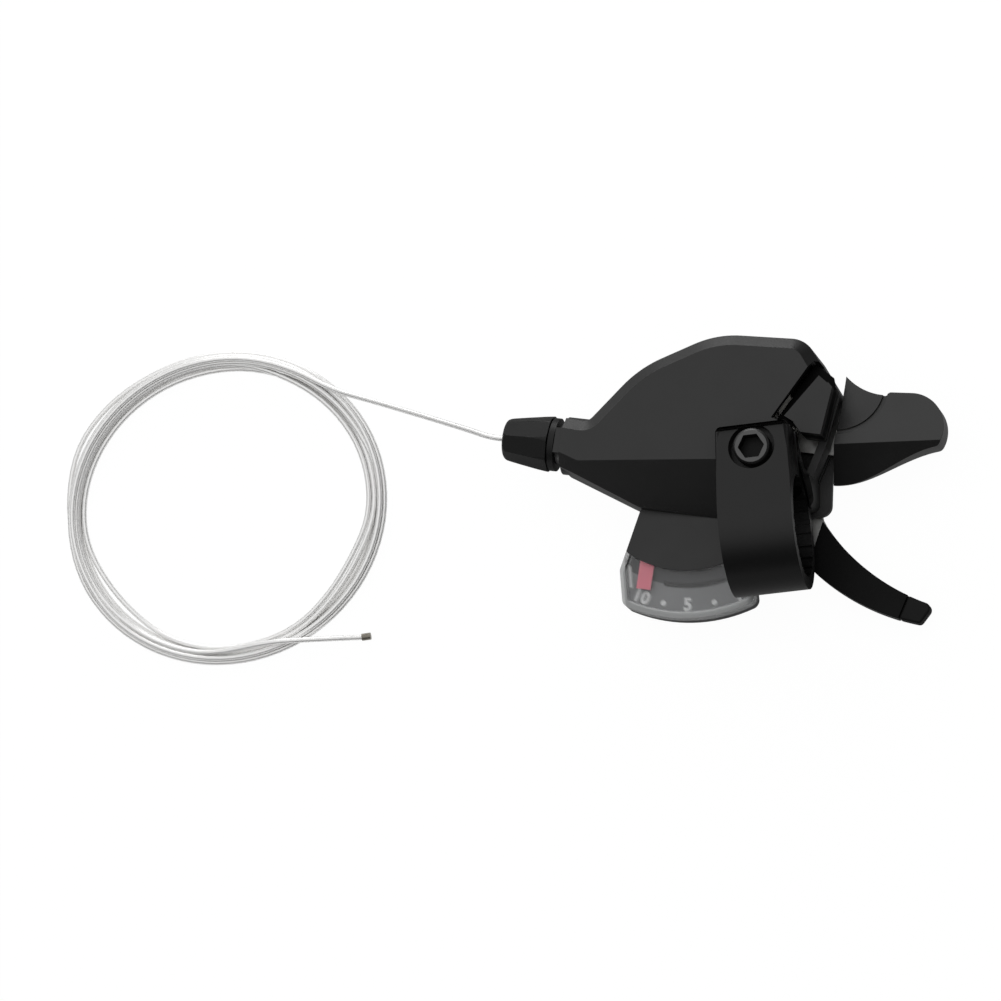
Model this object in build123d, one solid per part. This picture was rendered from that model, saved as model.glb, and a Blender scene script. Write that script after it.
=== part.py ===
"""Trigger gear shifter for a right-hand handlebar end, ten positions, with its inner cable and coil.

Millimetres. The origin is the middle of the handlebar clamp's bore, X runs along the bar towards the grip,
Y runs forward and Z runs up. The gear train stands on the main axle, which is parallel to Z.
"""
import math
import os

from build123d import *

os.makedirs("parts", exist_ok=True)

# Handlebar clamp
BAR_R = 11.1
BAND_WALL = 2.8
BAND_LENGTH = 16.2
SLIT = 2.0
EAR_FRONT = 22.0
EAR_TOP = 9.0
EAR_FOOT = -4.6
BOLT_Y = 16.6
BOLT_R = 2.5
HEAD_R = 4.0
HEAD_HEIGHT = 4.4
HEX_ACROSS = 5.0
HEX_DEEP = 3.2
SEAT_DEEP = 2.6
BOLT_ROOM = 1.1
NUT_ACROSS = 8.0
NUT_HEIGHT = 2.6
GRIP_WIDE = 1.2
GRIP_DEEP = 0.5
GRIP_STEP_DEG = 15
FOOT_SCREW_X = 5.2
FOOT_SCREW_DEG = -35.0
FOOT_SCREW_R = 1.2
FOOT_HEAD_R = 2.3

# Moulded housing: how far it reaches to each side of the clamp's middle
CASE_LEFT = 45.0
CASE_RIGHT = 17.6
CASE_FRONT = 45.4
CASE_BACK = 6.0
COVER_TOP = 0.0
PARTING = -9.0
FLOOR_FOOT = -19.4
FLOOR_THICK = 1.6
WALL = 1.8
EDGE_BEVEL = 2.4
BEVEL_DEG = 48.0
FACET_TILT = 47.0
FACET_TURN = -6.3
FACET_Y = 16.4
NECK_R = 6.4
NECK_LONG = 7.0
NECK_INSET = 0.8
NECK_STEP = 0.4
NECK_OVER = 2.4
UNDER_NECK_X = -32.0
UNDER_NECK_DEG = 16.0
BAR_GAP = 0.8

# Screws that close the housing
COVER_SCREWS = [(-29.0, 31.5), (-17.0, CASE_FRONT - 7.0), (8.5, CASE_FRONT - 5.2)]
SCREW_R = 1.25
SCREW_HEAD_R = 2.2
SCREW_HEAD = 1.6
BOSS_R = 2.6
SCREW_GRIP = 5.0

# Gear train
AXLE_X = -4.0
AXLE_Y = 26.56
AXLE_R = 2.5
AXLE_NUT_ACROSS = 8.0
WASHER_R = 5.5
WASHER_THICK = 0.8
WRAP_R = 10.0
DRUM_R = 11.5
DRUM_TOP = -6.4
DRUM_FOOT = -12.4
GROOVE_WIDTH = 2.2
SPRING_R = 6.6
SPRING_PITCH = 0.9
SPRING_TALL = 1.4
SPRING_WIRE_R = 0.35
SPRING_ROOM_R = 8.1
SPRING_HIGH = 2.2
HEAD_PLUG_R = 1.9
HUB_R = 4.2
RATCHET_TIP_R = 10.4
RATCHET_ROOT_R = 9.0
RATCHET_TOP = -16.3
RATCHET_THICK = 1.3
GEARS = 10
STEP_DEG = 15.0
LEVER_R = 12.4
LEVER_THICK = 1.8
LEVER_TOP = -20.1
THUMB_TURN = 30.0
FINGER_TURN = 10.0
FINGER_TOP = -15.0
FINGER_THICK = 1.0
PAWL_TOP = -16.4
PAWL_THICK = 1.2
PAWL_R = 13.4
TOOTH_LEAD_DEG = 2.4
HOLD_NOSE_DEG = 75.0
WIND_NOSE_DEG = -105.0

# Cable
CABLE_DEG = 13.4
CABLE_Z = -8.6
WIRE_R = 0.6
LEAVE = 18.02
KNOB_BIG_R = 6.2
KNOB_MID_R = 5.55
KNOB_SMALL_R = 4.5
KNOB_NOSE_ROUND = 1.5
KNOB_LENGTH = 10.6
KNOB_FLAT = 0.25
KNOB_CORNER = 1.0
SLEEVE_R = 2.4
SLEEVE_IN = 8.6
SLEEVE_OUT = 11.8
SLEEVE_BORE_R = 1.4
KNOB_GAP = 3.42
COLLAR_R = 5.9
COLLAR_FROM = 1.82
COLLAR_THICK = 1.3
TONGUE_WIDE = 5.6
COIL_CENTRE = (-126.5, 24.4)
COIL_R = 34.9
COIL_WIDE = 6.8
COIL_HIGH = 3.8
TIP_LONG = 2.0

# Gear display
POINTER_X = -17.9
POINTER_Y = 18.8
LENS_OUT_R = 34.0
LENS_IN_R = 23.4
LENS_TOP = -12.0
LENS_THICK = 1.2
POINTER_REST_DEG = 27.5
POINTER_SWEEP_DEG = 41.6
POINTER_TOP = -13.9
POINTER_THICK = 0.8
CAM_ARM = 9.5
CAM_LEAD_DEG = -6.0
CAM_PIN_R = 0.8
SCALE_THICK = 0.6
SLOT_WIDE = 1.1
LENS_WALL = 1.2
TRAY_BASE = 2.8
FLAG_INSET = 11.4
FLAG_LONG = 6.4
FLAG_WIDE = 3.2
FLAG_TURN_DEG = 14.0

# Finger pad: its reach along the bar, its ridge and the thumb-sized scoop in its top
PAD_REACH = 39.9
PAD_TOP = -10.0
PAD_FOOT = -17.0
PAD_RIDGE_Y = 19.4
PAD_RIDGE_DEG = -4.6
PAD_SLOPE_DEG = 38.5
PAD_ROOT = (13.2, 11.5)
PAD_BELLY = [(19.9, 11.7), (26.3, 13.6), (33.0, 15.7)]
PAD_HORN = (18.9, 34.4)
PAD_BROW = (22.4, 31.0)
PAD_BACK = [(16.9, 26.3), (15.0, 19.7)]
PAD_TIP = [(2.2, 16.4), (0.5, 22.2), (7.0, 28.7)]
PAD_NOSE_ROUND = 1.6
PAD_NOTCH = [(11.5, 29.4), (12.7, 28.9)]
SCOOP_AT = (17.0, 33.0)
SCOOP_R = 11.0
SCOOP_DEEP = 1.2
SCOOP_LINE = 0.9

# Thumb lever: where its moulded part starts and ends
THUMB_REACH = 32.4
THUMB_END_Y = -17.0
THUMB_END_WIDE = (3.4, 3.7)
THUMB_START = [(9.6, 4.6), (5.4, -5.0)]
THUMB_BOW = [(18.4, -7.4), (17.0, -15.2)]
THUMB_PAD_LONG = 7.0
THUMB_SKIN = 1.6
THUMB_LIP = 0.4
THUMB_ROUND = 1.4

# Clearances
RUN_FIT = 0.05
LOOSE = 0.4
THREAD_FIT = 0.05

# Sizes that follow from those above
BAND_R = BAR_R + BAND_WALL
along = Vector(math.cos(math.radians(CABLE_DEG)), -math.sin(math.radians(CABLE_DEG)), 0)
across = Vector(-along.Y, along.X, 0)
axle = Vector(AXLE_X, AXLE_Y, 0)
tangent = axle - across * WRAP_R + Vector(0, 0, CABLE_Z)
neck_end = tangent - along * ((tangent.X + CASE_LEFT - NECK_INSET) / along.X)
DRUM_TURN = (GEARS - 1) * STEP_DEG
SCALE_TOP = POINTER_TOP - POINTER_THICK - LOOSE
TRAY_FLOOR = SCALE_TOP - SCALE_THICK
TRAY_FOOT = TRAY_FLOOR - TRAY_BASE
LEVER_FOOT = LEVER_TOP - LEVER_THICK
NUT_FOOT = LEVER_FOOT - 3.4
FLOOR_Z = NUT_FOOT
SEAT_R = BAND_R + LOOSE
BOLT_SEAT = EAR_TOP - SEAT_DEEP
BIG = 400


def plate(points, low, high, rounds=None):
    """A flat plate of the outline's points, each with its own corner round, between two heights."""
    wire = FilletPolyline(*points, radius=rounds, close=True) if rounds else Polyline(*points, close=True)
    return Pos(0, 0, low) * extrude(make_face(wire), high - low, dir=(0, 0, 1))


def disc(x, y, radius, low, high, hole=0):
    """A round plate about a vertical line, with a hole through it where one is given."""
    solid = Pos(x, y, (low + high) / 2) * Cylinder(radius, high - low)
    if hole:
        solid -= Pos(x, y, (low + high) / 2) * Cylinder(hole, high - low + 2)
    return solid


def around(centre, radius, degrees):
    """The point at a radius and an angle about a centre."""
    turn = math.radians(degrees)
    return (centre[0] + radius * math.cos(turn), centre[1] + radius * math.sin(turn))


def on_cable(distance, radius, length):
    """A cylinder on the cable's line, from a distance left of the neck's end, going left."""
    plane = Plane(neck_end - along * distance, x_dir=across, z_dir=along * -1)
    return plane * (Pos(0, 0, length / 2) * Cylinder(radius, length))


def above(height):
    """Everything above a height."""
    return Pos(0, 0, height + BIG / 2) * Box(BIG, BIG, BIG)


def beyond(start, x_dir, normal):
    """Everything on the far side of a plane through a point."""
    return Plane(start, x_dir=x_dir, z_dir=normal) * (Pos(0, 0, BIG / 2) * Box(BIG, BIG, BIG))


def save(shape, node):
    """One file for each node."""
    export_step(shape, f"parts/{node}.step")


# Handlebar clamp: a split band with two ears, drawn from the side and drawn out along the bar
side = Plane(origin=(-BAND_LENGTH / 2, 0, 0), x_dir=(0, 1, 0), z_dir=(1, 0, 0))
ear_turn = math.atan2(EAR_TOP, EAR_FRONT) + math.acos(BAND_R / math.hypot(EAR_FRONT, EAR_TOP))
ear_start = (BAND_R * math.cos(ear_turn), BAND_R * math.sin(ear_turn))
ears = [ear_start, (EAR_FRONT, EAR_TOP), (EAR_FRONT, EAR_FOOT), (0, EAR_FOOT), (0, 0)]
profile = Circle(BAND_R) + make_face(FilletPolyline(*ears, radius=[0.1, 1.5, 1.0, 0.5, 0.5], close=True))
profile -= Circle(BAR_R)
profile -= Pos(BAR_R + 10, 0) * Rectangle(22, SLIT)
clamp_band = side * extrude(profile, BAND_LENGTH)
groove_bar = Pos(0, 0, BAR_R) * Box(BAND_LENGTH + 2, GRIP_WIDE, 2 * GRIP_DEEP)
clamp_band -= [Rot(turn, 0, 0) * groove_bar for turn in range(0, 246, GRIP_STEP_DEG)]
clamp_band -= disc(0, BOLT_Y, HEAD_R + BOLT_ROOM, BOLT_SEAT, EAR_TOP + 6)
clamp_band -= disc(0, BOLT_Y, BOLT_R + 0.25, EAR_FOOT - 1, EAR_TOP)
nut_pocket = Pos(0, BOLT_Y, EAR_FOOT + NUT_HEIGHT / 2) * Box(NUT_ACROSS + 0.2, NUT_ACROSS + 0.2, NUT_HEIGHT)
clamp_band -= nut_pocket

clamp_bolt = disc(0, BOLT_Y, HEAD_R, BOLT_SEAT, BOLT_SEAT + HEAD_HEIGHT)
clamp_bolt = chamfer(clamp_bolt.edges().group_by(Axis.Z)[-1], 0.5)
clamp_bolt += disc(0, BOLT_Y, BOLT_R, EAR_FOOT, BOLT_SEAT)
socket = extrude(RegularPolygon(HEX_ACROSS / 2, 6, major_radius=False), HEX_DEEP)
clamp_bolt -= Pos(0, BOLT_Y, BOLT_SEAT + HEAD_HEIGHT - HEX_DEEP) * socket
save(clamp_bolt, "clamp_bolt")

clamp_nut = Pos(0, BOLT_Y, EAR_FOOT + NUT_HEIGHT / 2) * Box(NUT_ACROSS, NUT_ACROSS, NUT_HEIGHT)
clamp_nut -= disc(0, BOLT_Y, BOLT_R + THREAD_FIT, EAR_FOOT - 1, EAR_FOOT + NUT_HEIGHT + 1)
save(clamp_nut, "clamp_nut")

# Two countersunk screws that hold the band to the housing, driven from inside the bore
foot_line = Vector(0, math.cos(math.radians(FOOT_SCREW_DEG)), math.sin(math.radians(FOOT_SCREW_DEG)))
screw_seat = Plane(foot_line * (BAR_R + 0.3), x_dir=(1, 0, 0), z_dir=foot_line)
foot_screw = Pos(0, 0, 0.7) * Cone(FOOT_HEAD_R, FOOT_SCREW_R, 1.4)
foot_screw += Pos(0, 0, 2.6) * Cylinder(FOOT_SCREW_R, 5.2)
room_r = FOOT_HEAD_R + THREAD_FIT
screw_room = Pos(0, 0, -0.6) * Cylinder(room_r, 1.2)
screw_room += Pos(0, 0, 0.7) * Cone(room_r, FOOT_SCREW_R + THREAD_FIT, 1.4)
screw_room += Pos(0, 0, 2.6) * Cylinder(FOOT_SCREW_R + THREAD_FIT, 5.6)
foot_screws = [screw_seat * (Pos(x, 0, 0) * foot_screw) for x in (-FOOT_SCREW_X, FOOT_SCREW_X)]
foot_rooms = [screw_seat * (Pos(x, 0, 0) * screw_room) for x in (-FOOT_SCREW_X, FOOT_SCREW_X)]
clamp_band -= foot_rooms
save(clamp_band, "clamp_band")
save(Compound(foot_screws), "clamp_screws")

# Room that the clamp and the bar take out of the housing
seat_room = Rot(0, 90, 0) * Cylinder(SEAT_R, BAND_LENGTH + 2 * LOOSE)
ear_room = Pos(0, EAR_FRONT / 2, (EAR_FOOT + 40) / 2) * Box(
    BAND_LENGTH + 2 * LOOSE, EAR_FRONT + 2 * LOOSE, 40 - EAR_FOOT + 2 * LOOSE
)
bar_room = Rot(0, 90, 0) * Cylinder(BAR_R + BAR_GAP, BIG)

# The sloping facet on the rider's side, parallel to the housing's own long side
facet_along = Vector(math.cos(math.radians(FACET_TURN)), math.sin(math.radians(FACET_TURN)), 0)
facet_out = Vector(facet_along.Y, -facet_along.X, 0)
tilt = math.radians(FACET_TILT)
facet_normal = facet_out * math.sin(tilt) + Vector(0, 0, math.cos(tilt))


def over_facet(inward):
    """Everything above the sloping facet, with the facet moved inward by a distance."""
    return beyond(Vector(AXLE_X, FACET_Y, COVER_TOP) - facet_normal * inward, facet_along, facet_normal)


def under_neck(inward):
    """Everything under the slope that thins the tray towards the neck, with the slope moved inward."""
    slope = Vector(-math.sin(math.radians(UNDER_NECK_DEG)), 0, -math.cos(math.radians(UNDER_NECK_DEG)))
    return beyond(Vector(UNDER_NECK_X, 0, FLOOR_FOOT) - slope * inward, (0, 1, 0), slope)


# Housing plan: the dome over the drum, the diagonal front edge, the neck cut square, and the rider's side
PLAN = [
    (-CASE_LEFT - NECK_OVER, neck_end.Y - 4.3),
    (-29.2, 10.3),
    (-12.0, CASE_BACK + 0.2),
    (9.5, CASE_BACK),
    (10.0, 12.5),
    (CASE_RIGHT - 4.2, 19.0),
    (CASE_RIGHT, 30.0),
    (CASE_RIGHT - 5.6, CASE_FRONT - 3.7),
    (-7.6, CASE_FRONT),
    (-25.4, CASE_FRONT - 5.5),
    (7.2 - CASE_LEFT, neck_end.Y + 3.5),
    (1.4 - CASE_LEFT - NECK_OVER, neck_end.Y + 5.9),
]
PLAN_ROUNDS = [1.0, 4.0, 8.0, 2.0, 3.0, 4.0, 3.0, 6.0, 22.0, 26.0, 2.5, 1.0]
plan = make_face(FilletPolyline(*PLAN, radius=PLAN_ROUNDS, close=True))
inner_plan = offset(plan, -WALL, kind=Kind.INTERSECTION)
past_neck = beyond(neck_end + along * NECK_STEP, across, along * -1)
past_wall = beyond(neck_end + along * (NECK_STEP + WALL), across, along * -1)

# Top cover
cover_block = Pos(0, 0, PARTING) * extrude(plan, COVER_TOP - EDGE_BEVEL - PARTING)
cover_block += Pos(0, 0, COVER_TOP - EDGE_BEVEL) * extrude(plan, EDGE_BEVEL, taper=BEVEL_DEG)
cover_block -= [over_facet(0), past_neck]
hollow = Pos(0, 0, PARTING) * extrude(inner_plan, COVER_TOP - WALL - PARTING)
top_cover = cover_block - (hollow - over_facet(WALL) - past_wall)
pocket = Pos(0, EAR_FRONT / 2 + 4, (EAR_FOOT - 1.4) / 2) * Box(BAND_LENGTH + 3, EAR_FRONT - 4, 1.4 - EAR_FOOT)
top_cover += pocket & cover_block
top_cover += disc(AXLE_X, AXLE_Y, AXLE_R + 1.6, DRUM_TOP + 1.6, COVER_TOP - 1)
for x, y in COVER_SCREWS:
    top_cover += disc(x, y, BOSS_R, PARTING, COVER_TOP - 1) & cover_block
    top_cover -= disc(x, y, SCREW_R, PARTING - 1, PARTING + SCREW_GRIP)
top_cover -= disc(AXLE_X, AXLE_Y, AXLE_R, DRUM_TOP, COVER_TOP - WALL)

# Neck that carries the cable adjuster: half in the cover and half in the tray
neck = on_cable(-NECK_LONG, NECK_R, NECK_LONG)
sleeve_bore = on_cable(-SLEEVE_IN - LOOSE, SLEEVE_R + RUN_FIT, BIG)
top_cover += neck & above(PARTING)
tongue_plane = Plane(neck_end, x_dir=along * -1, z_dir=(0, 0, 1))
tongue_long = COLLAR_FROM - 0.3 + 1.0
tongue = Pos(tongue_long / 2 - 1.0, 0, NECK_R - 1.0) * Box(tongue_long, TONGUE_WIDE, 1.8)
top_cover += tongue_plane * tongue

# The three-cornered shoulder of the tray stands up through a diagonal gap in the cover
GAP = [(3.2, 24.8), (8.8, 22.6), (17.2, 30.6), (17.0, 33.0), (13.4, 36.4)]
CORNER = [(3.2, 24.8), (7.2, 22.6), (9.0, 12.0), (30.0, 12.0), (30.0, 36.4), (13.4, 36.4)]
SHOULDER = [(7.9, 23.2), (9.2, 20.9), (13.6, 19.8), (17.1, 30.0), (16.3, 31.2)]
PANEL = [(6.0, 24.9), (8.8, 22.7), (9.4, 21.0), (13.6, 19.8), (17.1, 30.0), (14.4, 32.9)]
top_cover -= plate(CORNER, PARTING - 1, COVER_TOP + 1)
top_cover -= [seat_room, ear_room, bar_room, sleeve_bore, *foot_rooms]
save(top_cover, "top_cover")

# Display tray and stalk, under the bar
pivot = (POINTER_X, POINTER_Y)
lens_left = around(pivot, LENS_OUT_R, -120.6)
lens_right = around(pivot, LENS_OUT_R, -69)
display_side = [(-6.0, 2.0), (-8.0, 16.0), (-25.5, 14.5), (-29.6, 10.0), (-35.2, -2.6)]
display_edge = Polyline(lens_right, *display_side, lens_left)
display_edge += ThreePointArc(lens_left, around(pivot, LENS_OUT_R, -95), lens_right)
display_plan = make_face(display_edge)
display_plan = fillet(display_plan.vertices().group_by(Axis.Y)[:3], 2.0)
display_room = offset(display_plan, -LENS_WALL, kind=Kind.INTERSECTION)

# Lower housing: the tray under the cover, with the display's tray reaching under the bar
lower_block = Pos(0, 0, FLOOR_FOOT) * extrude(plan, PARTING - FLOOR_FOOT)
lower_block -= [over_facet(0), under_neck(0), past_neck]
gap_low = DRUM_TOP + LOOSE
shoulder = plate(SHOULDER, PARTING, COVER_TOP - 0.5) + plate(GAP, gap_low, gap_low + 1.0)
shoulder += plate(PANEL, gap_low, COVER_TOP - 0.5)
FLANGE = [(2.0, 5.2), (11.9, 5.2), (12.7, 12.0), (14.0, 19.0), (17.4, 29.0), (2.0, 29.0)]
lower_block += plate(FLANGE, FLOOR_FOOT, FLOOR_FOOT + FLOOR_THICK, [1.0, 2.5, 3.0, 8.0, 2.0, 1.0])
lower_housing = lower_block + Pos(0, 0, TRAY_FOOT) * extrude(display_plan, LENS_TOP - TRAY_FOOT)
lower_housing += neck - above(PARTING)
room = Pos(0, 0, FLOOR_FOOT + FLOOR_THICK) * extrude(inner_plan, PARTING - FLOOR_FOOT)
lower_housing -= room - over_facet(WALL) - under_neck(WALL) - past_wall
lower_housing += shoulder
for x, y in COVER_SCREWS:
    lower_housing += disc(x, y, BOSS_R, FLOOR_FOOT, PARTING)
    lower_housing -= disc(x, y, SCREW_R + THREAD_FIT, FLOOR_FOOT - 1, PARTING + 1)
    lower_housing -= disc(x, y, SCREW_HEAD_R + THREAD_FIT, FLOOR_FOOT - 1, FLOOR_FOOT + SCREW_HEAD)
band_only = disc(*pivot, LENS_OUT_R + 5, -30, 0) - disc(*pivot, LENS_IN_R, -31, 1)
lens_box = Pos(0, 0, TRAY_FLOOR) * extrude(display_plan, LENS_TOP - TRAY_FLOOR + 1)
lower_housing -= lens_box & band_only
sweep_points = [pivot]
for turn in (-8, 8, 24, 40, POINTER_SWEEP_DEG + 8):
    sweep_points.append(around(pivot, LENS_OUT_R - 3.0, -90 - POINTER_REST_DEG + turn))
display_well = Pos(0, 0, TRAY_FOOT) * extrude(display_room, -TRAY_FOOT)
lower_housing -= plate(sweep_points, SCALE_TOP, POINTER_TOP + 0.7) & display_well
lower_housing -= disc(AXLE_X, AXLE_Y, RATCHET_TIP_R + 0.8, FLOOR_FOOT - 1, FLOOR_FOOT + FLOOR_THICK + 0.1)
pawl_way = [around((AXLE_X, AXLE_Y), 16.0, turn) for turn in range(-146, -60, 12)]
lower_housing -= plate([(AXLE_X, AXLE_Y), *pawl_way], FLOOR_FOOT - 1, FLOOR_FOOT + FLOOR_THICK + 0.1)
finger_way = [around((AXLE_X, AXLE_Y), 32.0, turn) for turn in (-46, -28, -10, 8)]
lower_housing -= plate([(AXLE_X, AXLE_Y), *finger_way], FINGER_TOP - FINGER_THICK - 0.5, FINGER_TOP + 0.5)
lower_housing -= [seat_room, bar_room, sleeve_bore, *foot_rooms]
save(lower_housing, "lower_housing")

cover_screws = []
for x, y in COVER_SCREWS:
    screw = disc(x, y, SCREW_R, FLOOR_FOOT, PARTING + SCREW_GRIP)
    screw += disc(x, y, SCREW_HEAD_R, FLOOR_FOOT, FLOOR_FOOT + SCREW_HEAD)
    slot = Pos(x, y, FLOOR_FOOT + 0.4)
    cover_screws.append(screw - slot * Box(2.6, 0.6, 0.8) - slot * Box(0.6, 2.6, 0.8))
save(Compound(cover_screws), "cover_screws")

# Gear display: lens, scale and pointer
glass_band = disc(*pivot, LENS_OUT_R + 5, -30, 0) - disc(*pivot, LENS_IN_R + RUN_FIT, -31, 1)
lens = Pos(0, 0, TRAY_FLOOR) * extrude(display_plan, LENS_TOP - TRAY_FLOOR)
lens -= Pos(0, 0, TRAY_FLOOR) * extrude(display_room, LENS_TOP - LENS_THICK - TRAY_FLOOR)
display_lens = (lens & glass_band) - seat_room
save(display_lens, "display_lens")
scale_plan = offset(display_room, -RUN_FIT, kind=Kind.INTERSECTION)
scale_plate = (Pos(0, 0, TRAY_FLOOR) * extrude(scale_plan, SCALE_THICK)) & glass_band
slot_r = LENS_IN_R + 2.9
slot_ring = disc(*pivot, slot_r + SLOT_WIDE / 2, TRAY_FOOT, 0, slot_r - SLOT_WIDE / 2)
slot_span = [pivot] + [around(pivot, LENS_OUT_R, turn) for turn in (-108, -95, -82, -74)]
scale_plate -= slot_ring & plate(slot_span, TRAY_FOOT, 0)
save(scale_plate, "scale_plate")

rest = -90 - POINTER_REST_DEG
cam_rest = math.degrees(math.atan2(AXLE_Y - POINTER_Y, AXLE_X - POINTER_X)) + CAM_LEAD_DEG
pointer_low = POINTER_TOP - POINTER_THICK
flag_from = LENS_OUT_R - FLAG_INSET
pointer_long = flag_from + FLAG_LONG
arm_plan = Pos(pointer_long / 2, 0, 0) * Rectangle(pointer_long, 2.2)
arm = Pos(*pivot, pointer_low) * (Rot(0, 0, rest) * extrude(arm_plan, POINTER_THICK))
tail_plan = Pos(CAM_ARM / 2, 0, 0) * SlotCenterToCenter(CAM_ARM, 2.6)
tail = Rot(0, 0, cam_rest) * extrude(tail_plan, POINTER_THICK)
pointer = arm + Pos(*pivot, pointer_low) * tail + disc(*pivot, 2.6, pointer_low, POINTER_TOP)
pointer -= disc(*pivot, 1.0 + RUN_FIT, pointer_low - 1, POINTER_TOP + 1)
cam_pin_at = around(pivot, CAM_ARM, cam_rest)
pointer += disc(*cam_pin_at, CAM_PIN_R, POINTER_TOP, DRUM_FOOT + 1.5)
save(pointer, "pointer")
flag_plan = Pos(flag_from + FLAG_LONG / 2, 0, 0) * Rot(0, 0, FLAG_TURN_DEG) * Rectangle(FLAG_LONG, FLAG_WIDE)
flag = Pos(*pivot, POINTER_TOP) * (Rot(0, 0, rest) * extrude(flag_plan, 0.3))
save(flag, "pointer_flag")
pointer_pin = disc(*pivot, 1.0, FLOOR_FOOT + FLOOR_THICK, POINTER_TOP + 0.6)
save(pointer_pin, "pointer_pin")

# Winding drum: cable groove, and a spiral cam under it that moves the pointer
winding_drum = disc(AXLE_X, AXLE_Y, DRUM_R, DRUM_FOOT, DRUM_TOP)
winding_drum += disc(AXLE_X, AXLE_Y, HUB_R, RATCHET_TOP, DRUM_FOOT)
groove_low = CABLE_Z - GROOVE_WIDTH / 2
winding_drum -= disc(AXLE_X, AXLE_Y, DRUM_R + 1, groove_low, groove_low + GROOVE_WIDTH, WRAP_R - WIRE_R - 0.1)
cam_line = []
for step in range(-1, 20):
    turn = DRUM_TURN * step / 18
    pin = around(pivot, CAM_ARM, cam_rest + POINTER_SWEEP_DEG * step / 18)
    reach = math.hypot(pin[0] - AXLE_X, pin[1] - AXLE_Y)
    angle = math.degrees(math.atan2(pin[1] - AXLE_Y, pin[0] - AXLE_X)) - turn
    cam_line.append((reach, angle))
half = CAM_PIN_R + 0.3
outer_line = [around((AXLE_X, AXLE_Y), reach + half, angle) for reach, angle in cam_line]
inner_line = [around((AXLE_X, AXLE_Y), reach - half, angle) for reach, angle in cam_line]
cam_outline = Spline(*outer_line) + Line(outer_line[-1], inner_line[-1])
cam_outline += Spline(*inner_line[::-1]) + Line(inner_line[0], outer_line[0])
winding_drum -= Pos(0, 0, DRUM_FOOT - 1) * extrude(make_face(cam_outline), 2.9)
winding_drum -= disc(AXLE_X, AXLE_Y, AXLE_R + RUN_FIT, -40, 0)
winding_drum -= disc(AXLE_X, AXLE_Y, SPRING_ROOM_R, DRUM_TOP - SPRING_HIGH - LOOSE, DRUM_TOP + 1, 0)
head_spot = axle - across * WRAP_R + along * HEAD_PLUG_R
winding_drum -= disc(head_spot.X, head_spot.Y, HEAD_PLUG_R + RUN_FIT, CABLE_Z - 2.0, DRUM_TOP + 1)
save(winding_drum, "winding_drum")

# Ratchet wheel on the drum's hub: one tooth for each step of the drum
teeth = []
for tooth in range(round(360 / STEP_DEG)):
    face = HOLD_NOSE_DEG + TOOTH_LEAD_DEG + tooth * STEP_DEG
    teeth.append(around((AXLE_X, AXLE_Y), RATCHET_ROOT_R, face))
    teeth.append(around((AXLE_X, AXLE_Y), RATCHET_TIP_R, face))
    teeth.append(around((AXLE_X, AXLE_Y), RATCHET_TIP_R, face + 1.5))
ratchet_wheel = plate(teeth, RATCHET_TOP - RATCHET_THICK, RATCHET_TOP)
ratchet_wheel -= disc(AXLE_X, AXLE_Y, AXLE_R + RUN_FIT, -40, 0)
save(ratchet_wheel, "ratchet_wheel")

# Main axle with its flange under the cover, washer and nut
CEILING = COVER_TOP - WALL
main_axle = disc(AXLE_X, AXLE_Y, AXLE_R, NUT_FOOT + 0.6, CEILING)
save(main_axle, "main_axle")
WASHER_TOP = LEVER_FOOT - 0.2
axle_washer = disc(AXLE_X, AXLE_Y, WASHER_R, WASHER_TOP - WASHER_THICK, WASHER_TOP, AXLE_R)
save(axle_washer, "axle_washer")
nut_plan = RegularPolygon(AXLE_NUT_ACROSS / 2, 6, major_radius=False)
axle_nut = Pos(AXLE_X, AXLE_Y, NUT_FOOT) * extrude(nut_plan, WASHER_TOP - WASHER_THICK - NUT_FOOT)
axle_nut -= disc(AXLE_X, AXLE_Y, AXLE_R, -40, 0)
save(axle_nut, "axle_nut")

# Drum spring: a flat clock spring in the drum's top
coil_out = []
coil_in = []
for step in range(49):
    turn = step * 15
    reach = HUB_R + LOOSE + (SPRING_ROOM_R - HUB_R - 0.9) * step / 48
    coil_out.append(around((AXLE_X, AXLE_Y), reach + 0.2, turn))
    coil_in.append(around((AXLE_X, AXLE_Y), reach - 0.2, turn))
spring_edge = Spline(*coil_out) + Line(coil_out[-1], coil_in[-1])
spring_edge += Spline(*coil_in[::-1]) + Line(coil_in[0], coil_out[0])
drum_spring = Pos(0, 0, DRUM_TOP - SPRING_HIGH - 0.1) * extrude(make_face(spring_edge), SPRING_HIGH)
save(drum_spring, "drum_spring")

# Thumb lever: steel arm on the axle, moulded cover and a grey end pad
ARM_OUT = [(-13.5, 20.0), (-1.0, 7.0), (8.0, -5.5), (22.5, -16.2)]
ARM_BACK = [(24.0, -13.6), (13.0, -3.0), (9.6, 5.0), (7.5, 22.0)]
thumb_arm = disc(AXLE_X, AXLE_Y, LEVER_R, LEVER_FOOT, LEVER_TOP)
thumb_arm += plate(ARM_OUT + ARM_BACK, LEVER_FOOT, LEVER_TOP)
wind_pin_at = around((AXLE_X, AXLE_Y), PAWL_R, WIND_NOSE_DEG - 25)
thumb_arm += disc(*wind_pin_at, 2.4, LEVER_FOOT, LEVER_TOP)
thumb_arm -= disc(AXLE_X, AXLE_Y, AXLE_R + RUN_FIT, -40, 0)
save(thumb_arm, "thumb_arm")
thumb_end = (THUMB_REACH, THUMB_END_Y)
thumb_foot = (THUMB_REACH - THUMB_END_WIDE[0], THUMB_END_Y - THUMB_END_WIDE[1])
upper = ThreePointArc(THUMB_START[0], THUMB_BOW[0], thumb_end)
lower = ThreePointArc(thumb_foot, THUMB_BOW[1], THUMB_START[1])
skin_edge = upper + Line(upper @ 1, lower @ 0) + lower + Line(lower @ 1, upper @ 0)
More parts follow.
